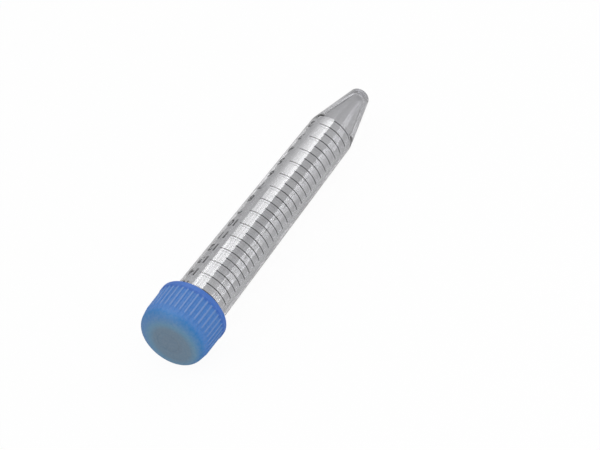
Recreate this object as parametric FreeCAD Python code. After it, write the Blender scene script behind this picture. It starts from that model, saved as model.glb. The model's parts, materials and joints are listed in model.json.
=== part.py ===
import FreeCAD, Part
import math
import os

# A 15 ml screw-cap conical tube, lying closed on a flat surface, in millimetres.
# Each piece is drawn on its own axis, with x from the cap's outer face (0) to the tip of the
# cone, and r outwards. lay_down() then rests both pieces on z = 0 with +X towards the tip.

os.makedirs("parts", exist_ok=True)

# The whole tube
overall_length = 120.0
draft = 0.0088                  # the wall draws in by this much of its length towards the tip

# The cap, moulded in one with its grip ribs and its seal plug
cap_height = 14.2
rib_count = 40
rib_top_radius = 10.65          # over the ribs, at the fillet
rib_end_radius = 10.83          # over the ribs, at their lower ends
rib_depth = 0.38
rib_round = 0.46                # radius of a rib's round top
rib_end_x = 12.6                # below here the rim is a plain band
rim_radius = 11.0               # the rim stands proud of the ribs, so the cap rests on it
rim_round = 0.4
rim_join = 0.5                  # the ribs' valleys rise into the rim over this length
cap_fillet = 3.2
rib_fillet = 4.9                # the ribs' tops fall away sooner, so they end above the fillet
rib_trim_clear = 0.02           # the rounding that ends the ribs stands clear of their tops
cap_top_thickness = 1.5
skirt_bore = 9.35
gate_radius = 3.6               # shallow round well where the cap was filled
gate_depth = 0.15
plug_length = 2.6
plug_wall = 0.9
plug_clearance = 0.05
plug_taper = 0.4                # the plug's end narrows by this much to find the mouth
plug_taper_length = 0.8
skirt_lead_in = 0.4

# The tube, moulded in one with its thread
neck_radius = 8.3               # outer radius level with the cap's rim
mouth_bore = 7.66
shoulder_bore = 6.8
shoulder_step = 0.6             # the hollow's shoulder is this far above the outer one
mouth_break = 0.25              # small chamfers on the lip
body_length = 84.8              # from the cap's rim to the shoulder
shoulder_round = 8.0
inner_shoulder_round = 7.3      # the hollow's rounding, so that the wall stays even there
tip_radius = 3.15               # outer radius of the cone at its end
tip_round = 1.2
cone_floor_x = 118.5            # where the hollow ends
cone_floor_radius = 2.1

# The external thread
thread_pitch = 3.0
thread_turns = 1.75
thread_start_x = 3.6
thread_crest = 9.05
thread_root_width = 1.5
thread_crest_width = 0.6
thread_sink = 0.25              # how far its root runs into the neck

# How exactly the shapes are worked out
same_place = 1e-6
resting_mesh = 0.01             # the mesh that finds the lowest point strays this far at most


def point(x, r):
    return FreeCAD.Vector(x, r, 0)


def outline(*edges):
    """Join edges and bare points into one closed profile, with straight runs between them."""
    parts = []
    last = None
    for item in edges:
        start = item if isinstance(item, FreeCAD.Vector) else item.firstVertex().Point
        end = item if isinstance(item, FreeCAD.Vector) else item.lastVertex().Point
        if last is not None and last.distanceToPoint(start) > same_place:
            parts.append(Part.LineSegment(last, start).toShape())
        if not isinstance(item, FreeCAD.Vector):
            parts.append(item)
        last = end
    first = edges[0] if isinstance(edges[0], FreeCAD.Vector) else edges[0].firstVertex().Point
    if last.distanceToPoint(first) > same_place:
        parts.append(Part.LineSegment(last, first).toShape())
    return Part.Wire(parts)


def turned(profile):
    """Revolve a closed profile about the x axis."""
    face = Part.Face(profile)
    return face.revolve(FreeCAD.Vector(0, 0, 0), FreeCAD.Vector(1, 0, 0), 360)


def rounded(before, corner, after, radius):
    """An arc of the given radius in the corner between two straight runs."""
    back = (before - corner).normalize()
    ahead = (after - corner).normalize()
    half = back.getAngle(ahead) / 2
    reach = radius / math.tan(half)
    middle = (back + ahead).normalize()
    centre = corner + middle * (radius / math.sin(half))
    top = centre - middle * radius
    return Part.Arc(corner + back * reach, top, corner + ahead * reach).toShape()


def cap_side(depth, fillet):
    """The cap's outside as a filled turned solid, a given depth below the tops of the ribs."""
    top = rib_top_radius - depth
    low = rib_end_radius - depth
    corner = point(0, top)
    side_end = point(rib_end_x, low)
    edge = rounded(point(0, 0), corner, side_end, fillet)
    return turned(outline(point(0, 0), edge, side_end, point(rib_end_x, 0)))


def rib(turn):
    """One straight round-topped rib, at an angle about the axis from the bottom line."""
    rise = rib_end_radius - rib_top_radius
    slope = math.atan2(rise, rib_end_x)
    centre = FreeCAD.Vector(0, 0, rib_round - rib_top_radius)
    along = FreeCAD.Vector(math.cos(slope), 0, -math.sin(slope))
    shape = Part.makeCylinder(rib_round, rib_end_x / math.cos(slope), centre, along)
    shape.rotate(FreeCAD.Vector(0, 0, 0), FreeCAD.Vector(1, 0, 0), turn)
    return shape


def make_cap():
    # a rib stands half a step each side of the bottom line
    ribs = [rib((k + 0.5) * 360 / rib_count) for k in range(rib_count)]
    body = cap_side(rib_depth, cap_fillet)
    tops = Part.makeCompound(ribs).common(cap_side(-rib_trim_clear, rib_fillet))
    grip = body.fuse(tops.Solids)
    rim_top = point(rib_end_x, rim_radius)
    rim_edge = rounded(rim_top, point(cap_height, rim_radius), point(cap_height, 0), rim_round)
    rim = turned(outline(point(rib_end_x - rim_join, 0),
                         point(rib_end_x - rim_join, rib_end_radius - rib_depth),
                         rim_top, rim_edge, point(cap_height, 0)))
    plug_outer = mouth_bore - draft * plug_length - plug_clearance
    plug_end = cap_top_thickness + plug_length
    hollow = turned(outline(
        point(cap_top_thickness, 0), point(cap_top_thickness, plug_outer - plug_wall),
        point(plug_end, plug_outer - plug_wall), point(plug_end, plug_outer - plug_taper),
        point(plug_end - plug_taper_length, plug_outer), point(cap_top_thickness, plug_outer),
        point(cap_top_thickness, skirt_bore), point(cap_height - skirt_lead_in, skirt_bore),
        point(cap_height, skirt_bore + skirt_lead_in), point(cap_height, 0)))
    gate = Part.makeCylinder(gate_radius, gate_depth, FreeCAD.Vector(0, 0, 0),
                             FreeCAD.Vector(1, 0, 0))
    return grip.fuse(rim).cut(hollow).cut(gate).removeSplitter().Solids[0]


def shoulder_corner():
    x = cap_height + body_length
    return point(x, neck_radius - draft * body_length)


def cone_end():
    return point(overall_length, tip_radius)


def make_tube():
    lip = cap_top_thickness
    lip_radius = neck_radius + draft * (cap_height - lip)
    corner = shoulder_corner()
    mouth = point(lip + mouth_break, lip_radius)
    shoulder = rounded(mouth, corner, cone_end(), shoulder_round)
    tip = rounded(corner, cone_end(), point(overall_length, 0), tip_round)
    floor_start = point(cone_floor_x - cone_floor_radius, cone_floor_radius)
    middle = cone_floor_radius * math.sqrt(0.5)
    floor = Part.Arc(point(cone_floor_x, 0),
                     point(cone_floor_x - cone_floor_radius + middle, middle),
                     floor_start).toShape()
    inner_corner = point(corner.x - shoulder_step, shoulder_bore)
    inner_mouth = point(lip + mouth_break, mouth_bore)
    inner_shoulder = rounded(floor_start, inner_corner, inner_mouth, inner_shoulder_round)
    body = turned(outline(
        point(lip, lip_radius - mouth_break), mouth, shoulder, tip, point(overall_length, 0),
        floor, inner_shoulder, inner_mouth, point(lip, mouth_bore + mouth_break)))
    return body.fuse(make_thread()).removeSplitter().Solids[0]


def make_thread():
    """A trapezoid ridge swept round the neck along its helix."""
    root = neck_radius - thread_sink
    length = thread_pitch * thread_turns
    helix = Part.makeHelix(thread_pitch, length, root)
    half_root = thread_root_width / 2
    half_crest = thread_crest_width / 2
    section = Part.makePolygon([
        FreeCAD.Vector(root, 0, -half_root), FreeCAD.Vector(thread_crest, 0, -half_crest),
        FreeCAD.Vector(thread_crest, 0, half_crest), FreeCAD.Vector(root, 0, half_root),
        FreeCAD.Vector(root, 0, -half_root)])
    ridge = Part.Wire(helix).makePipeShell([section], True, True)
    # the helix is made about z, so turn it to climb along x
    ridge.rotate(FreeCAD.Vector(0, 0, 0), FreeCAD.Vector(0, 1, 0), 90)
    ridge.translate(FreeCAD.Vector(thread_start_x, 0, 0))
    return ridge


def resting_tilt():
    """The angle of the axis when the cap's rim and the shoulder both touch the floor, in radians.

    The floor is tangent to the rounding of the rim's edge and to the shoulder's rounding.
    """
    corner = shoulder_corner()
    shoulder = rounded(point(0, neck_radius + draft * cap_height), corner, cone_end(),
                       shoulder_round)
    centre = shoulder.Curve.Center
    rise = rim_radius - rim_round - centre.y
    run = centre.x - (cap_height - rim_round)
    return (math.acos((shoulder_round - rim_round) / math.hypot(rise, run))
            - math.atan2(run, rise))


def lay_down(pieces):
    """Tip the pieces onto the floor and centre them over the origin."""
    tilt = resting_tilt()
    for shape in pieces:
        shape.rotate(FreeCAD.Vector(0, 0, 0), FreeCAD.Vector(0, 1, 0), math.degrees(tilt))
    points = [p for shape in pieces for p in shape.tessellate(resting_mesh)[0]]
    middle_x = (min(p.x for p in points) + max(p.x for p in points)) / 2
    floor_z = min(p.z for p in points)
    for shape in pieces:
        shape.translate(FreeCAD.Vector(-middle_x, 0, -floor_z))
    print("axis tilt %.4f degrees, cap face centre at x %.3f z %.3f" % (
        math.degrees(tilt), -middle_x, -floor_z))


cap = make_cap()
tube = make_tube()
lay_down([cap, tube])
for name, shape in (("cap", cap), ("tube", tube)):
    print(name, "valid", shape.isValid(), "volume %.1f mm3" % shape.Volume)
    shape.exportStep("parts/" + name + ".step")
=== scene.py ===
import json
import math

import bpy
from mathutils import Matrix, Vector


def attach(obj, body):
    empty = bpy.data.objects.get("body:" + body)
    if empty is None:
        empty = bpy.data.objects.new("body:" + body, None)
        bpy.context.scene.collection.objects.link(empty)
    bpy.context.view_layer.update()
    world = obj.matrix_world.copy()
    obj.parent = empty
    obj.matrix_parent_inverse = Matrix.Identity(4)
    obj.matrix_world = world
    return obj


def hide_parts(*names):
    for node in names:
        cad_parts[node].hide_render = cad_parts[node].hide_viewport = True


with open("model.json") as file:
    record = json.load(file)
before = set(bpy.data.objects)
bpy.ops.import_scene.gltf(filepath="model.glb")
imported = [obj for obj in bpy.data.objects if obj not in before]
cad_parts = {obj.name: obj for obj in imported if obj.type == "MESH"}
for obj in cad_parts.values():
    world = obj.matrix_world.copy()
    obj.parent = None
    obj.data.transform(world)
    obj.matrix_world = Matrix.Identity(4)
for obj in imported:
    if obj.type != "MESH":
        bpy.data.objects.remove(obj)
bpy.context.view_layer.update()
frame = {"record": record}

# ---------------------------------------------------------------------------------------
# The clear tube. It is injection moulded in clear plastic in one piece: a long body that
# draws in slightly towards the tip, a cone with a small round foot, and a screw thread
# under the cap. It carries the cap and the print.
# ---------------------------------------------------------------------------------------

# along the tube's axis from the cap's outer face, and outwards from that axis, in metres
OVERALL_LENGTH = 0.120
DRAFT = 0.0088
CAP_HEIGHT = 0.0142
LIP = 0.0015
LIP_BREAK = 0.00025
RIM_COVER = 0.002
NECK_RADIUS = 0.0083
MOUTH_BORE = 0.00766
SHOULDER_BORE = 0.0068
SHOULDER_STEP = 0.0006
BODY_LENGTH = 0.0848
SHOULDER_ROUND = 0.008
FOOT_RADIUS = 0.00315
FOOT_ROUND = 0.0012
INNER_SHOULDER_ROUND = 0.0073
HOLLOW_END = 0.1185
HOLLOW_END_RADIUS = 0.0021

THREAD_PITCH = 0.003
THREAD_TURNS = 1.75
THREAD_START = 0.0036
THREAD_ROOT_WIDTH = 0.0015
THREAD_CREST_WIDTH = 0.0006
THREAD_SINK = 0.00025
THREAD_CREST = 0.00905
THREAD_STEPS = 84
THREAD_FADE = 7
RIDGE_CORNERS = 4

TURN_STEPS = 144
FOOT_STEPS = 8
SHOULDER_STEPS = 10
SMOOTH_BELOW = math.radians(30)
MERGE = 1e-6


def draw_outline(name, points):
    """Start a piece as a chain of edges through the given places, and stay in edit mode."""
    bpy.ops.object.select_all(action="DESELECT")
    bpy.ops.mesh.primitive_plane_add()
    piece = bpy.context.object
    piece.name = name
    piece.data.name = name
    bpy.ops.object.mode_set(mode="EDIT")
    bpy.ops.mesh.select_all(action="SELECT")
    bpy.ops.mesh.merge(type="CENTER")
    bpy.ops.transform.translate(value=points[0])
    for here, there in zip(points, points[1:]):
        bpy.ops.mesh.extrude_region_move(TRANSFORM_OT_translate={"value": there - here})
    return piece


def turn_about_axis(steps, angle=2 * math.pi):
    """Spin the drawn outline about the tube's axis and close its seam and poles."""
    bpy.ops.mesh.select_all(action="SELECT")
    bpy.ops.mesh.spin(steps=steps, angle=angle, center=(0, 0, 0), axis=(-1, 0, 0))
    bpy.ops.mesh.select_all(action="SELECT")
    bpy.ops.mesh.remove_doubles(threshold=MERGE)
    bpy.ops.mesh.normals_make_consistent(inside=False)
    bpy.ops.object.mode_set(mode="OBJECT")


def at(x, radius):
    """A place in an outline, along the axis and outwards from it."""
    return Vector((x, 0, radius))


def rounded(before, corner, after, radius, steps):
    """Points on the arc that rounds one corner of an outline."""
    back = (before - corner).normalized()
    ahead = (after - corner).normalized()
    half = back.angle(ahead) / 2
    middle = (back + ahead).normalized()
    centre = corner + middle * (radius / math.sin(half))
    first = corner + back * (radius / math.tan(half)) - centre
    last = corner + ahead * (radius / math.tan(half)) - centre
    return [centre + first.slerp(last, k / steps) * radius for k in range(steps + 1)]


def choose(piece, wanted):
    """Select the vertices whose place passes a test, and go into edit mode with only those."""
    bpy.ops.object.select_all(action="DESELECT")
    bpy.context.view_layer.objects.active = piece
    piece.select_set(True)
    bpy.ops.object.mode_set(mode="EDIT")
    bpy.ops.mesh.select_mode(type="VERT")
    bpy.ops.mesh.select_all(action="DESELECT")
    bpy.ops.object.mode_set(mode="OBJECT")
    for vertex in piece.data.vertices:
        vertex.select = wanted(vertex)
    bpy.ops.object.mode_set(mode="EDIT")


def apply_modifier(piece, kind, **settings):
    """Add one modifier, set it and apply it."""
    bpy.context.view_layer.objects.active = piece
    modifier = piece.modifiers.new(kind.lower(), kind)
    for key, value in settings.items():
        setattr(modifier, key, value)
    bpy.ops.object.modifier_apply(modifier=modifier.name)


def helical_ridge(name, start, turns, root, crest):
    """A thread's ridge, a trapezoid swept along its helix, whose crest fades in and out."""
    bpy.ops.object.select_all(action="DESELECT")
    bpy.ops.mesh.primitive_plane_add(size=1)
    ridge = bpy.context.object
    ridge.name = name
    bpy.ops.object.mode_set(mode="EDIT")
    bpy.ops.mesh.select_all(action="SELECT")
    bpy.ops.transform.rotate(value=math.pi / 2, orient_axis="X", center_override=(0, 0, 0))
    bpy.ops.transform.resize(value=(THREAD_ROOT_WIDTH, 1, abs(crest - root)),
                             center_override=(0, 0, 0))
    bpy.ops.transform.translate(value=(start, 0, (root + crest) / 2))
    bpy.ops.object.mode_set(mode="OBJECT")
    outwards = 1 if crest > root else -1
    middle = (root + crest) / 2
    choose(ridge, lambda v: (v.co.z - middle) * outwards > 0)
    bpy.ops.transform.resize(value=(THREAD_CREST_WIDTH / THREAD_ROOT_WIDTH, 1, 1),
                             center_override=(start, 0, crest))
    bpy.ops.mesh.select_all(action="SELECT")
    bpy.ops.mesh.delete(type="ONLY_FACE")
    bpy.ops.object.mode_set(mode="OBJECT")
    crests = [v.index for v in ridge.data.vertices if (v.co.z - middle) * outwards > 0]
    apply_modifier(ridge, "SCREW", axis="X", angle=2 * math.pi * turns,
                   screw_offset=THREAD_PITCH * turns, steps=THREAD_STEPS,
                   render_steps=THREAD_STEPS)
    for k in range(THREAD_FADE):
        share = math.sin(math.pi / 2 * k / THREAD_FADE)
        height = root + (crest - root) * share
        choose(ridge, lambda v: v.index % RIDGE_CORNERS in crests
               and v.index // RIDGE_CORNERS in (k, THREAD_STEPS - k))
        bpy.ops.transform.resize(value=(1, height / crest, height / crest),
                                 center_override=(0, 0, 0))
        bpy.ops.object.mode_set(mode="OBJECT")
    choose(ridge, lambda v: True)
    bpy.ops.mesh.fill_holes(sides=RIDGE_CORNERS)
    bpy.ops.mesh.select_all(action="SELECT")
    bpy.ops.mesh.normals_make_consistent(inside=False)
    bpy.ops.object.mode_set(mode="OBJECT")
    return ridge


def weld(piece, addition):
    """Unite two closed shells into one."""
    apply_modifier(piece, "BOOLEAN", operation="UNION", object=addition, solver="EXACT")
    bpy.data.objects.remove(addition)


def record_mount(name):
    """One of the places where the tube is held or stood, by its name in the record."""
    return next(m for m in frame["record"]["mounts"] if m["name"] == name)


# the rack's grip is this far along the tube from the cap's face, and the cap lifts off along
# the axis, so together they say where the closed tube lies
RACK_X = 0.018
lift = Vector(frame["record"]["behaviour"]["joints"][0]["axis"])
along = -lift.normalized()
face_centre = Vector(record_mount("rack_body")["pos_m"]) - along * RACK_X
slope = math.atan2(-along.z, along.x)
lying = Matrix.Translation(face_centre) @ Matrix.Rotation(slope, 4, "Y")


def lay_down(piece, body):
    """Lay a finished piece along the tube's sloping axis and give it to its body."""
    bpy.ops.object.select_all(action="DESELECT")
    bpy.context.view_layer.objects.active = piece
    piece.select_set(True)
    piece.matrix_world = lying
    bpy.ops.object.transform_apply(location=True, rotation=True, scale=True)
    bpy.ops.object.shade_smooth_by_angle(angle=SMOOTH_BELOW)
    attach(piece, body)


shoulder = at(CAP_HEIGHT + BODY_LENGTH, NECK_RADIUS - DRAFT * BODY_LENGTH)
foot = at(OVERALL_LENGTH, FOOT_RADIUS)
mouth = at(LIP + LIP_BREAK, NECK_RADIUS + DRAFT * (CAP_HEIGHT - LIP))
under_cap = at(CAP_HEIGHT - RIM_COVER, NECK_RADIUS + DRAFT * RIM_COVER)
inner_mouth = at(LIP + LIP_BREAK, MOUTH_BORE)
inner_shoulder = at(shoulder.x - SHOULDER_STEP, SHOULDER_BORE)
hollow_foot = at(HOLLOW_END - HOLLOW_END_RADIUS, HOLLOW_END_RADIUS)

tube = draw_outline("clear_tube", [
    at(OVERALL_LENGTH, 0),
    *reversed(rounded(shoulder, foot, at(OVERALL_LENGTH, 0), FOOT_ROUND, FOOT_STEPS)),
    *reversed(rounded(mouth, shoulder, foot, SHOULDER_ROUND, SHOULDER_STEPS)),
    under_cap,
    mouth,
    mouth + Vector((-LIP_BREAK, 0, -LIP_BREAK)),
    inner_mouth + Vector((-LIP_BREAK, 0, LIP_BREAK)),
    inner_mouth,
    *rounded(inner_mouth, inner_shoulder, hollow_foot, INNER_SHOULDER_ROUND, SHOULDER_STEPS),
    *rounded(hollow_foot, at(HOLLOW_END, HOLLOW_END_RADIUS), at(HOLLOW_END, 0),
             HOLLOW_END_RADIUS, FOOT_STEPS),
])
turn_about_axis(TURN_STEPS)
weld(tube, helical_ridge("tube_thread", THREAD_START, THREAD_TURNS,
                         NECK_RADIUS - THREAD_SINK, THREAD_CREST))
lay_down(tube, "tube_body")
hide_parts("tube")


def new_material(name):
    """A material with only its shader and its output, and the nodes and links to build on."""
    material = bpy.data.materials.new(name)
    material.use_nodes = True
    nodes = material.node_tree.nodes
    return material, nodes, material.node_tree.links, nodes["Principled BSDF"]


def tube_space(nodes, links):
    """Places along and about the tube's axis, from the piece's own coordinates."""
    place = nodes.new("ShaderNodeTexCoord")
    laid = nodes.new("ShaderNodeMapping")
    laid.vector_type = "TEXTURE"
    laid.inputs["Location"].default_value = face_centre
    laid.inputs["Rotation"].default_value = (0, slope, 0)
    links.new(place.outputs["Object"], laid.inputs["Vector"])
    return laid.outputs["Vector"]


def cloudiness(nodes, links, space, scale, detail):
    """An even, soft-edged noise that varies a finish from place to place."""
    noise = nodes.new("ShaderNodeTexNoise")
    noise.inputs["Scale"].default_value = scale
    noise.inputs["Detail"].default_value = detail
    links.new(space, noise.inputs["Vector"])
    return noise.outputs["Fac"]


def blend_colours(nodes, links, share, first, second):
    """Mix two colours, given as sockets or as values, by a share."""
    mixed = nodes.new("ShaderNodeMix")
    mixed.data_type = "RGBA"
    links.new(share, mixed.inputs["Factor"])
    for colour, socket in ((first, mixed.inputs["A"]), (second, mixed.inputs["B"])):
        if isinstance(colour, tuple):
            socket.default_value = colour
        else:
            links.new(colour, socket)
    return mixed.outputs["Result"]


def spread(nodes, links, value, low, high, start=0.0, end=1.0):
    """Turn a value that runs from start to end into one that runs from low to high."""
    span = nodes.new("ShaderNodeMapRange")
    span.inputs["From Min"].default_value = start
    span.inputs["From Max"].default_value = end
    span.inputs["To Min"].default_value = low
    span.inputs["To Max"].default_value = high
    links.new(value, span.inputs["Value"])
    return span.outputs["Result"]


CLEAR_TINT = (0.975, 0.975, 0.985, 1)
CLEAR_TINT_HAZE = (0.985, 0.985, 0.995, 1)
CLEAR_DEPTH_COLOUR = (0.5, 0.5, 0.54, 1)
CLEAR_DEPTH_DENSITY = 160.0
CLEAR_SMOOTHEST = 0.004
CLEAR_ROUGHEST = 0.016
CLEAR_IOR = 1.2
CLEAR_COAT_IOR = 1.95
CLEAR_COAT_ROUGHNESS = 0.01
HAZE_SCALE = 90
HAZE_DETAIL = 3

clear, nodes, links, shader = new_material("clear_plastic")
haze = cloudiness(nodes, links, tube_space(nodes, links), HAZE_SCALE, HAZE_DETAIL)
tint = blend_colours(nodes, links, haze, CLEAR_TINT, CLEAR_TINT_HAZE)
links.new(tint, shader.inputs["Base Color"])
gloss = spread(nodes, links, haze, CLEAR_SMOOTHEST, CLEAR_ROUGHEST)
links.new(gloss, shader.inputs["Roughness"])
shader.inputs["Transmission Weight"].default_value = 1.0
shader.inputs["IOR"].default_value = CLEAR_IOR
shader.inputs["Coat Weight"].default_value = 1.0
shader.inputs["Coat IOR"].default_value = CLEAR_COAT_IOR
shader.inputs["Coat Roughness"].default_value = CLEAR_COAT_ROUGHNESS
depth = nodes.new("ShaderNodeVolumeAbsorption")
depth.inputs["Color"].default_value = CLEAR_DEPTH_COLOUR
depth.inputs["Density"].default_value = CLEAR_DEPTH_DENSITY
links.new(depth.outputs["Volume"], nodes["Material Output"].inputs["Volume"])
tube.data.materials.append(clear)

# ---------------------------------------------------------------------------------------
# The graduations. Lines of dark ink are printed round the outside of the body, one to each
# half millilitre, and every whole one is longer. Their spacing follows the drawn-in bore.
# ---------------------------------------------------------------------------------------

TOP_LINE_ML = 15.0
LOWEST_LINE_ML = 1.5
LINE_STEP_ML = 0.5
CUBIC_METRES_PER_ML = 1e-6
TOP_LINE_X = CAP_HEIGHT + 0.0018
SCALE_BORE = 0.00761
LINE_WIDTH = 0.00036
LINE_END = math.radians(90)
LONG_LINE_START = math.radians(2)
SHORT_LINE_START = math.radians(27)
INK_GAP = 0.000006
INK_THICKNESS = 0.00002
LINE_STEPS = 30


def scale_x(millilitres):
    """Where along the tube the given volume ends, in a bore that draws in evenly."""
    to_apex = SCALE_BORE / DRAFT
    missing = (TOP_LINE_ML - millilitres) * CUBIC_METRES_PER_ML
    left = to_apex ** 3 - 3 * missing / (math.pi * DRAFT ** 2)
    return TOP_LINE_X + to_apex - math.copysign(abs(left) ** (1 / 3), left)


def wall_radius(x):
    """How far out the drawn-in wall of the body is."""
    return NECK_RADIUS - DRAFT * (x - CAP_HEIGHT)


def round_the_tube(x, radius, turn):
    """A place on the tube, turned from its top line towards the near side."""
    return Vector((x, -radius * math.sin(turn), radius * math.cos(turn)))


def printed_strip(name, x_start, x_end, turn_start, turn_end, steps):
    """A thin film of ink that follows the wall between two lines and two angles."""
    corners = [round_the_tube(x, wall_radius(x) + INK_GAP, turn_start)
               for x in (x_start, x_end)]
    strip = draw_outline(name, corners)
    turn_about_axis(steps, turn_end - turn_start)
    apply_modifier(strip, "SOLIDIFY", thickness=INK_THICKNESS, offset=1)
    return strip


def join(name, pieces):
    """Make several pieces into one."""
    bpy.ops.object.select_all(action="DESELECT")
    for piece in pieces:
        piece.select_set(True)
    bpy.context.view_layer.objects.active = pieces[0]
    bpy.ops.object.join()
    pieces[0].name = name
    pieces[0].data.name = name
    return pieces[0]


lines = []
for step in range(int((TOP_LINE_ML - LOWEST_LINE_ML) / LINE_STEP_ML) + 1):
    amount = TOP_LINE_ML - step * LINE_STEP_ML
    x = scale_x(amount)
    start = LONG_LINE_START if amount == int(amount) else SHORT_LINE_START
    lines.append(printed_strip("line", x - LINE_WIDTH / 2, x + LINE_WIDTH / 2,
                               start, LINE_END, LINE_STEPS))
graduations = join("graduation_lines", lines)
lay_down(graduations, "tube_body")

INK_DARK = (0.02, 0.02, 0.025, 1)
INK_THIN = (0.05, 0.05, 0.06, 1)
INK_GRAIN_SCALE = 2500
INK_GRAIN_DETAIL = 2
INK_ROUGHNESS = 0.05
INK_IOR = 2.1

ink, nodes, links, shader = new_material("dark_ink")
grain = cloudiness(nodes, links, tube_space(nodes, links), INK_GRAIN_SCALE, INK_GRAIN_DETAIL)
tint = blend_colours(nodes, links, grain, INK_DARK, INK_THIN)
links.new(tint, shader.inputs["Base Color"])
shader.inputs["Roughness"].default_value = INK_ROUGHNESS
shader.inputs["IOR"].default_value = INK_IOR
graduations.data.materials.append(ink)

# ---------------------------------------------------------------------------------------
# The numerals. Each whole millilitre from two up has its number in the same ink, beside the
# end of its long line, upright when the tube stands on its tip.
# ---------------------------------------------------------------------------------------

NUMERAL_HEIGHT = 0.003
NUMERAL_EM = 0.73
NUMERAL_SQUEEZE = 0.9
NUMERAL_BOLD = 0.00015
NUMERAL_DROP = 0.001
LOWEST_NUMERAL = 2
TENS_TURN = math.radians(-9)
UNITS_TURN = math.radians(-22)
NUMERAL_CUTS = 7


def numeral(digit, x, turn):
    """One digit, cut into strips, wrapped on to the wall and given the ink's thickness."""
    bpy.ops.object.select_all(action="DESELECT")
    bpy.ops.object.text_add()
    figure = bpy.context.object
    figure.data.body = digit
    figure.data.size = NUMERAL_HEIGHT / NUMERAL_EM
    figure.data.offset = NUMERAL_BOLD
    figure.data.align_x = "CENTER"
    figure.data.align_y = "CENTER"
    bpy.ops.object.convert(target="MESH")
    figure = bpy.context.object
    width = max(v.co.x for v in figure.data.vertices)
    bpy.ops.object.mode_set(mode="EDIT")
    for k in range(NUMERAL_CUTS):
        bpy.ops.mesh.select_all(action="SELECT")
        cut = width * (2 * (k + 0.5) / NUMERAL_CUTS - 1)
        bpy.ops.mesh.bisect(plane_co=(cut, 0, 0), plane_no=(1, 0, 0))
    bpy.ops.object.mode_set(mode="OBJECT")
    up = Vector((-1, 0, 0))
    out = round_the_tube(0, 1, turn)
    squeeze = Matrix.Diagonal((NUMERAL_SQUEEZE, 1, 1, 1))
    turned = Matrix((up.cross(out), up, out)).transposed().to_4x4()
    place = Matrix.Translation(round_the_tube(x, wall_radius(x) + NUMERAL_DROP, turn))
    figure.matrix_world = lying @ place @ turned @ squeeze
    apply_modifier(figure, "SHRINKWRAP", target=tube, wrap_method="PROJECT",
                   use_project_z=True, use_negative_direction=True,
                   use_positive_direction=False, offset=INK_GAP,
                   wrap_mode="ABOVE_SURFACE")
    bpy.ops.object.transform_apply(location=True, rotation=True, scale=True)
    apply_modifier(figure, "SOLIDIFY", thickness=INK_THICKNESS, offset=1)
    return figure


figures = []
for amount in range(LOWEST_NUMERAL, int(TOP_LINE_ML) + 1):
    digits = str(amount)
    figures.append(numeral(digits[-1], scale_x(amount), UNITS_TURN))
    if len(digits) == 2:
        figures.append(numeral(digits[0], scale_x(amount), TENS_TURN))
numerals = join("numerals", figures)
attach(numerals, "tube_body")
numerals.data.materials.clear()
numerals.data.materials.append(ink)

# ---------------------------------------------------------------------------------------
# The writing patch. A plain rectangle of matt white ink is printed on the far side of the
# body, to write a sample's name on.
# ---------------------------------------------------------------------------------------

PATCH_START = CAP_HEIGHT + 0.020
PATCH_END = CAP_HEIGHT + 0.058
PATCH_TURN_START = math.radians(208)
PATCH_TURN_END = math.radians(298)
PATCH_STEPS = 48
PATCH_WHITE = (0.80, 0.80, 0.81, 1)
PATCH_SHADE = (0.70, 0.70, 0.72, 1)
MOTTLE_SCALE = 800
MOTTLE_DETAIL = 2
PATCH_ROUGHNESS = 0.65
PATCH_SOFTNESS = 0.0005
PATCH_COVER = 0.5

patch = printed_strip("writing_patch", PATCH_START, PATCH_END,
                      PATCH_TURN_START, PATCH_TURN_END, PATCH_STEPS)
lay_down(patch, "tube_body")

white_ink, nodes, links, shader = new_material("white_ink")
mottle = cloudiness(nodes, links, tube_space(nodes, links), MOTTLE_SCALE, MOTTLE_DETAIL)
tint = blend_colours(nodes, links, mottle, PATCH_WHITE, PATCH_SHADE)
links.new(tint, shader.inputs["Base Color"])
shader.inputs["Roughness"].default_value = PATCH_ROUGHNESS
shader.inputs["Subsurface Weight"].default_value = 1.0
shader.inputs["Subsurface Radius"].default_value = (1, 1, 1)
shader.inputs["Subsurface Scale"].default_value = PATCH_SOFTNESS
shader.inputs["Alpha"].default_value = PATCH_COVER
patch.data.materials.append(white_ink)

# ---------------------------------------------------------------------------------------
# The cap. It is moulded in one piece in translucent blue plastic, with forty round ribs to
# grip, a plain band at its rim, a seal plug that enters the tube's mouth and a thread inside
# its skirt. It screws off the tube.
# ---------------------------------------------------------------------------------------

RIBS = 40
RIB_COLUMNS = 10
RIB_TOP_RADIUS = 0.01065
RIB_END_RADIUS = 0.01083
RIB_DEPTH = 0.00038
RIB_ROUND = 0.00046
RIB_END = 0.0126
CAP_FILLET = 0.0032
RIB_FILLET = 0.0049
RIB_LIP = 0.00005
RIM_RADIUS = 0.01099
RIM_ROUND = 0.0004
RIM_JOIN = 0.0005
CAP_TOP = 0.0015
SKIRT_BORE = 0.00935
SKIRT_LEAD_IN = 0.0004
GATE_RADIUS = 0.0036
GATE_DEPTH = 0.00015
GATE_WALL_LEAN = 0.0001
GATE_EDGE_DROP = 0.00004
GATE_EDGE_START = 0.00002
GATE_EDGE_END = 0.00012
PLUG_LENGTH = 0.0026
PLUG_WALL = 0.0009
PLUG_CLEARANCE = 0.00005
PLUG_TAPER = 0.0004
PLUG_TAPER_LENGTH = 0.0008
CAP_THREAD_CREST = 0.0086
CAP_THREAD_TURNS = 1.6
CAP_THREAD_START = THREAD_START + THREAD_PITCH / 2
SIDE_RINGS = (0.005, 0.0075, 0.010)
FILLET_STEPS = 12
RIM_STEPS = 6


def side_line(depth, fillet):
    """The cap's side from its face to the ribs' ends, a given depth below the ribs' tops."""
    corner = at(0, RIB_TOP_RADIUS - depth)
    end = at(RIB_END, RIB_END_RADIUS - depth)
    return rounded(at(0, 0), corner, end, fillet, FILLET_STEPS), end


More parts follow.
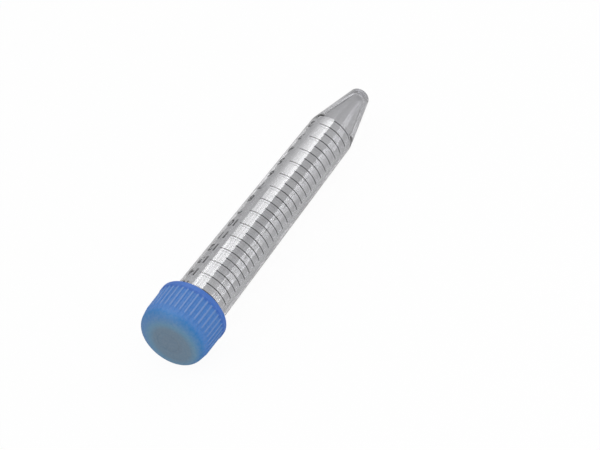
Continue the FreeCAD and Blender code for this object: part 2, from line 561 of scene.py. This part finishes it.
def height_on(points, end, x):
    """The radius of a side line at x: along its fillet's points, then straight to its end."""
    for a, b in zip([*points, end], [*points[1:], end]):
        if a.x <= x <= b.x and b.x > a.x:
            return a.z + (b.z - a.z) * (x - a.x) / (b.x - a.x)
    return end.z if x >= end.x else points[0].z


valley, valley_end = side_line(RIB_DEPTH, CAP_FILLET)
crest, crest_end = side_line(0, RIB_FILLET)
rim_start = at(RIB_END - RIM_JOIN, height_on(valley, valley_end, RIB_END - RIM_JOIN))
rim_corner = at(CAP_HEIGHT, RIM_RADIUS)
plug_radius = MOUTH_BORE - DRAFT * PLUG_LENGTH - PLUG_CLEARANCE
plug_end = CAP_TOP + PLUG_LENGTH
rib_stop = at(RIB_END - RIB_LIP, RIM_RADIUS - (RIM_RADIUS - rim_start.z) * RIB_LIP / RIM_JOIN)
side_middle = [at(x, height_on(valley, valley_end, x)) for x in SIDE_RINGS]

cap = draw_outline("blue_cap", [
    at(GATE_DEPTH, 0),
    at(GATE_DEPTH, GATE_RADIUS - GATE_WALL_LEAN),
    at(GATE_EDGE_DROP, GATE_RADIUS + GATE_EDGE_START),
    at(0, GATE_RADIUS + GATE_EDGE_END),
    *valley,
    *side_middle,
    rim_start,
    rib_stop,
    at(RIB_END, RIM_RADIUS),
    *rounded(at(RIB_END, RIM_RADIUS), rim_corner, at(CAP_HEIGHT, 0), RIM_ROUND, RIM_STEPS),
    at(CAP_HEIGHT, SKIRT_BORE + SKIRT_LEAD_IN),
    at(CAP_HEIGHT - SKIRT_LEAD_IN, SKIRT_BORE),
    at(CAP_TOP, SKIRT_BORE),
    at(CAP_TOP, plug_radius),
    at(plug_end - PLUG_TAPER_LENGTH, plug_radius),
    at(plug_end, plug_radius - PLUG_TAPER),
    at(plug_end, plug_radius - PLUG_WALL),
    at(CAP_TOP, plug_radius - PLUG_WALL),
    at(CAP_TOP, 0),
])
turn_about_axis(RIBS * RIB_COLUMNS)


def column_of(vertex):
    """Which of a rib's columns a vertex stands on, counted from the valley's middle."""
    turn = math.atan2(-vertex.co.y, vertex.co.z) / (2 * math.pi)
    return round(turn * RIBS * RIB_COLUMNS) % RIB_COLUMNS


def rib_share(column):
    """How much of the rib's height its round section has at a column."""
    across = (column - RIB_COLUMNS / 2) * 2 * math.pi * RIB_TOP_RADIUS / (RIBS * RIB_COLUMNS)
    if abs(across) >= RIB_ROUND:
        return 0.0
    above = math.sqrt(RIB_ROUND ** 2 - across ** 2) - RIB_ROUND + RIB_DEPTH
    return max(above / RIB_DEPTH, 0.0)


# the ribs rise out of each ring of the side, up to the line that their tops follow
for ring in [*valley, *side_middle, rim_start, rib_stop]:
    room = height_on(crest, crest_end, ring.x) - ring.z
    if room <= 0:
        continue
    for column in range(1, RIB_COLUMNS // 2 + 1):
        share = rib_share(column)
        if share == 0:
            continue
        lift_to = ring.z + room * share
        both = (column, RIB_COLUMNS - column)
        choose(cap, lambda v: abs(v.co.x - ring.x) < MERGE
               and abs(v.co.yz.length - ring.z) < MERGE and column_of(v) in both)
        bpy.ops.transform.resize(value=(1, lift_to / ring.z, lift_to / ring.z),
                                 center_override=(0, 0, 0))
        bpy.ops.object.mode_set(mode="OBJECT")

weld(cap, helical_ridge("cap_thread", CAP_THREAD_START, CAP_THREAD_TURNS,
                        SKIRT_BORE + THREAD_SINK, CAP_THREAD_CREST))
lay_down(cap, "cap_body")
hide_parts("cap")

SIDE_BLUE = (0.072, 0.213, 0.54, 1)
RIM_BLUE = (0.058, 0.167, 0.53, 1)
FILLET_BLUE = (0.034, 0.187, 0.465, 1)
FACE_EDGE = (0.092, 0.215, 0.44, 1)
FACE_OUTER = (0.124, 0.252, 0.38, 1)
FACE_INNER = (0.142, 0.214, 0.29, 1)
FACE_CENTRE = (0.143, 0.208, 0.28, 1)
# the crests' paler blue is a painted sheen on the ribs' tops
CREST_SHEEN_BLUE = (0.17, 0.28, 0.55, 1)
FACE_TONES = [(0.0, FACE_CENTRE), (0.0033, FACE_CENTRE), (0.0037, FACE_INNER),
              (0.0058, FACE_INNER), (0.0076, FACE_OUTER), (0.0098, FACE_EDGE)]
SIDE_TONES = [(0.0, FILLET_BLUE), (0.0018, FILLET_BLUE), (0.0034, SIDE_BLUE),
              (0.0118, SIDE_BLUE), (0.0124, RIM_BLUE)]
FACE_REACH = 0.011
SIDE_BLEND_START = 0.0004
SIDE_BLEND_END = 0.0022
# moves the face's grey centre low and towards the near side: painted shade, where less light
# comes through the cap
FACE_SHADE_SHIFT = (0, -0.0012, -0.0005)
RUBBED_AND_SHEEN_DEPTH = 0.00012
RUBBED_ROUGHNESS = 0.26
CAP_ROUGHNESS = 0.5
CAP_SPECULAR = 0.3
SPECKLE_SCALE = 1400
SPECKLE_DETAIL = 3
SPECKLE_CONTRAST = 0.12


def arithmetic(nodes, links, operation, *values):
    """One step of arithmetic on sockets and plain numbers."""
    step = nodes.new("ShaderNodeMath")
    step.operation = operation
    for value, socket in zip(values, step.inputs):
        if isinstance(value, float):
            socket.default_value = value
        else:
            links.new(value, socket)
    return step.outputs[0]


def ramp(nodes, links, value, reach, stops):
    """Colour by a distance in metres, from stops up to the given reach."""
    band = nodes.new("ShaderNodeValToRGB")
    while len(band.color_ramp.elements) < len(stops):
        band.color_ramp.elements.new(0.5)
    for element, (distance, colour) in zip(band.color_ramp.elements, stops):
        element.position = distance / reach
        element.color = colour
    links.new(arithmetic(nodes, links, "DIVIDE", value, reach), band.inputs["Fac"])
    return band.outputs["Color"]


def distance_from_axis(nodes, links, space, centre=(0, 0, 0)):
    """How far outwards from a line along the axis a place is."""
    across = nodes.new("ShaderNodeVectorMath")
    across.operation = "SUBTRACT"
    across.inputs[1].default_value = centre
    links.new(space, across.inputs[0])
    flat = nodes.new("ShaderNodeVectorMath")
    flat.operation = "MULTIPLY"
    flat.inputs[1].default_value = (0, 1, 1)
    links.new(across.outputs["Vector"], flat.inputs[0])
    radius = nodes.new("ShaderNodeVectorMath")
    radius.operation = "LENGTH"
    links.new(flat.outputs["Vector"], radius.inputs[0])
    return radius.outputs["Value"]


blue, nodes, links, shader = new_material("blue_plastic")
space = tube_space(nodes, links)
split = nodes.new("ShaderNodeSeparateXYZ")
links.new(space, split.inputs["Vector"])
from_face = split.outputs["X"]
# the face is greyer towards its centre, where the plug lies behind it; that grey centre sits
# low and towards the near side, a painted shade where less light comes through the cap
face_shade_distance = distance_from_axis(nodes, links, space, FACE_SHADE_SHIFT)
face_colour = ramp(nodes, links, face_shade_distance, FACE_REACH, FACE_TONES)
side_colour = ramp(nodes, links, from_face, CAP_HEIGHT, SIDE_TONES)
on_side = spread(nodes, links, from_face, 0.0, 1.0, SIDE_BLEND_START, SIDE_BLEND_END)

# the ribs' tops are rubbed smoother by hands, and are made paler there with a painted sheen
rib_draft = (RIB_TOP_RADIUS - RIB_END_RADIUS) / RIB_END
outwards = distance_from_axis(nodes, links, space)
rib_height = arithmetic(nodes, links, "MULTIPLY_ADD", from_face, rib_draft, outwards)
rubbed_and_sheen = spread(nodes, links, rib_height, 0.0, 1.0, RIB_TOP_RADIUS - RUBBED_AND_SHEEN_DEPTH,
                RIB_TOP_RADIUS)
short_of_rim = arithmetic(nodes, links, "LESS_THAN", from_face, RIB_END - RIM_JOIN)
on_crest = arithmetic(nodes, links, "MULTIPLY", rubbed_and_sheen, short_of_rim)

colour = blend_colours(nodes, links, on_side, face_colour, side_colour)
# painted sheen: the ribs' tops get a paler blue
colour = blend_colours(nodes, links, on_crest, colour, CREST_SHEEN_BLUE)
speckle = cloudiness(nodes, links, space, SPECKLE_SCALE, SPECKLE_DETAIL)
varied = nodes.new("ShaderNodeBrightContrast")
links.new(colour, varied.inputs["Color"])
links.new(spread(nodes, links, speckle, -SPECKLE_CONTRAST, SPECKLE_CONTRAST),
          varied.inputs["Contrast"])
links.new(varied.outputs["Color"], shader.inputs["Base Color"])
polish = spread(nodes, links, on_crest, CAP_ROUGHNESS, RUBBED_ROUGHNESS)
links.new(polish, shader.inputs["Roughness"])
shader.inputs["Specular IOR Level"].default_value = CAP_SPECULAR
cap.data.materials.append(blue)

# ---------------------------------------------------------------------------------------
# The table and the light: a white table, a soft white room, a soft box, and a long window
# overhead, made of lamps, whose panes draw the bright bands on the tube.
# ---------------------------------------------------------------------------------------

FLOOR_SIZE = 4.0
FLOOR_GREY = (0.9, 0.9, 0.9, 1)
FLOOR_ROUGHNESS = 0.9
FLOOR_GLOW = 0.95
FLOOR_MIRRORED_GLOW = 0.7
FLOOR_MIRRORED_LEVEL = 0.42

bpy.ops.object.select_all(action="DESELECT")
bpy.ops.mesh.primitive_plane_add(size=FLOOR_SIZE)
floor = bpy.context.object
floor.name = "floor"

white, nodes, links, shader = new_material("white_table")
shader.inputs["Base Color"].default_value = FLOOR_GREY
shader.inputs["Roughness"].default_value = FLOOR_ROUGHNESS
shader.inputs["Specular IOR Level"].default_value = 0.0


def seen_share(nodes, links, direct, mirrored):
    """A share for what the camera sees, another for reflections and clear pieces, else none."""
    path = nodes.new("ShaderNodeLightPath").outputs
    either = arithmetic(nodes, links, "MAXIMUM", path["Is Glossy Ray"],
                        path["Is Transmission Ray"])
    part = arithmetic(nodes, links, "MULTIPLY", either, mirrored)
    return arithmetic(nodes, links, "MULTIPLY_ADD", path["Is Camera Ray"], direct, part)


share = seen_share(nodes, links, FLOOR_GLOW, FLOOR_MIRRORED_GLOW)
glow = nodes.new("ShaderNodeEmission")
seen = nodes.new("ShaderNodeLightPath").outputs["Is Camera Ray"]
links.new(spread(nodes, links, seen, FLOOR_MIRRORED_LEVEL, 1.0), glow.inputs["Strength"])
mixed = nodes.new("ShaderNodeMixShader")
links.new(share, mixed.inputs["Fac"])
links.new(shader.outputs["BSDF"], mixed.inputs[1])
links.new(glow.outputs["Emission"], mixed.inputs[2])
links.new(mixed.outputs["Shader"], nodes["Material Output"].inputs["Surface"])
floor.data.materials.append(white)

ROOM_LIGHT = 0.88
ROOM_MIRRORED_LIGHT = 0.4
world = bpy.data.worlds.new("room")
bpy.context.scene.world = world
world.use_nodes = True
nodes = world.node_tree.nodes
links = world.node_tree.links
nodes["Background"].inputs["Color"].default_value = (1, 1, 1, 1)
share = seen_share(nodes, links, 1.0 - ROOM_LIGHT, ROOM_MIRRORED_LIGHT - ROOM_LIGHT)
level = arithmetic(nodes, links, "ADD", share, ROOM_LIGHT)
links.new(level, nodes["Background"].inputs["Strength"])


def area_lamp(name, length, width, radiance):
    """A rectangular lamp whose face is as bright as asked, whatever its size."""
    data = bpy.data.lights.new(name, "AREA")
    data.shape = "RECTANGLE"
    data.size = length
    data.size_y = width
    data.energy = radiance * math.pi * length * width
    lamp = bpy.data.objects.new(name, data)
    bpy.context.collection.objects.link(lamp)
    return lamp


WINDOW_DISTANCE = 0.5
WINDOW_START = -0.45
FADE_START = 0.42
BAND_END = 0.475
GLOW_END = 0.57


def window_pane(name, turn_start, turn_end, x_start, x_end, radiance):
    """A lamp that fills one pane, between two angles about the tube, and faces its axis."""
    width = 2 * WINDOW_DISTANCE * math.tan(math.radians(turn_end - turn_start) / 2)
    lamp = area_lamp(name, x_end - x_start, width, radiance)
    out = round_the_tube(0, 1, math.radians((turn_start + turn_end) / 2))
    axis = Vector((1, 0, 0))
    facing = Matrix((axis, out.cross(axis), out)).transposed().to_4x4()
    place = out * WINDOW_DISTANCE + axis * (x_start + x_end) / 2
    lamp.matrix_world = lying @ Matrix.Translation(place) @ facing
    lamp.visible_diffuse = False


# the window's panes, by the angles about the tube and the places along it where each starts
# and ends, and how bright each is
WINDOW_PANES = [(-32, -17.5, WINDOW_START, FADE_START, 2.30),
                (-32, -17.5, FADE_START, BAND_END, 1.22),
                (-17.5, -11.5, WINDOW_START, BAND_END, 1.13),
                (-11.5, -3, WINDOW_START, BAND_END, 2.16),
                (-3, 1, WINDOW_START, BAND_END, 1.46),
                (1, 16, WINDOW_START, BAND_END, 2.30),
                (-45, -32, BAND_END, GLOW_END, 0.42),
                (-32, -21, BAND_END, GLOW_END, 0.80),
                (-21, -10, BAND_END, GLOW_END, 1.27),
                (-10, 0, BAND_END, GLOW_END, 1.79),
                (0, 16, BAND_END, GLOW_END, 2.63)]
for k, pane in enumerate(WINDOW_PANES):
    window_pane("window_pane_" + str(k), *pane)

SOFT_BOX_LENGTH = 0.9
SOFT_BOX_WIDTH = 0.6
SOFT_BOX_LEVEL = 0.4
SOFT_BOX_PLACE = (0.0, -0.4, 0.5)

soft_box = area_lamp("soft_box", SOFT_BOX_LENGTH, SOFT_BOX_WIDTH, SOFT_BOX_LEVEL)
soft_box.location = SOFT_BOX_PLACE
soft_box.visible_glossy = False

# ---------------------------------------------------------------------------------------
# The camera. It looks along the tube from beyond the cap, down at it and leaning to one
# side, through a long lens.
# ---------------------------------------------------------------------------------------

LENS_MM = 108.8
SENSOR_MM = 36
NEAREST = 0.01
HEADING = math.radians(50.61)
LOOK_DOWN = math.radians(39.46)
LEAN = math.radians(16.94)
AIM = Vector((-0.00255, -0.01147, 0.00812))
DISTANCE = 0.5411

camera_data = bpy.data.cameras.new("camera")
camera_data.lens = LENS_MM
camera_data.sensor_width = SENSOR_MM
camera_data.clip_start = NEAREST
camera = bpy.data.objects.new("camera", camera_data)
bpy.context.collection.objects.link(camera)
pose = (Matrix.Rotation(-HEADING, 4, "Z")
        @ Matrix.Rotation(math.pi / 2 - LOOK_DOWN, 4, "X")
        @ Matrix.Rotation(-LEAN, 4, "Z"))
camera.matrix_world = Matrix.Translation(AIM) @ pose @ Matrix.Translation((0, 0, DISTANCE))
bpy.context.scene.camera = camera
bpy.context.scene.view_settings.view_transform = "Standard"
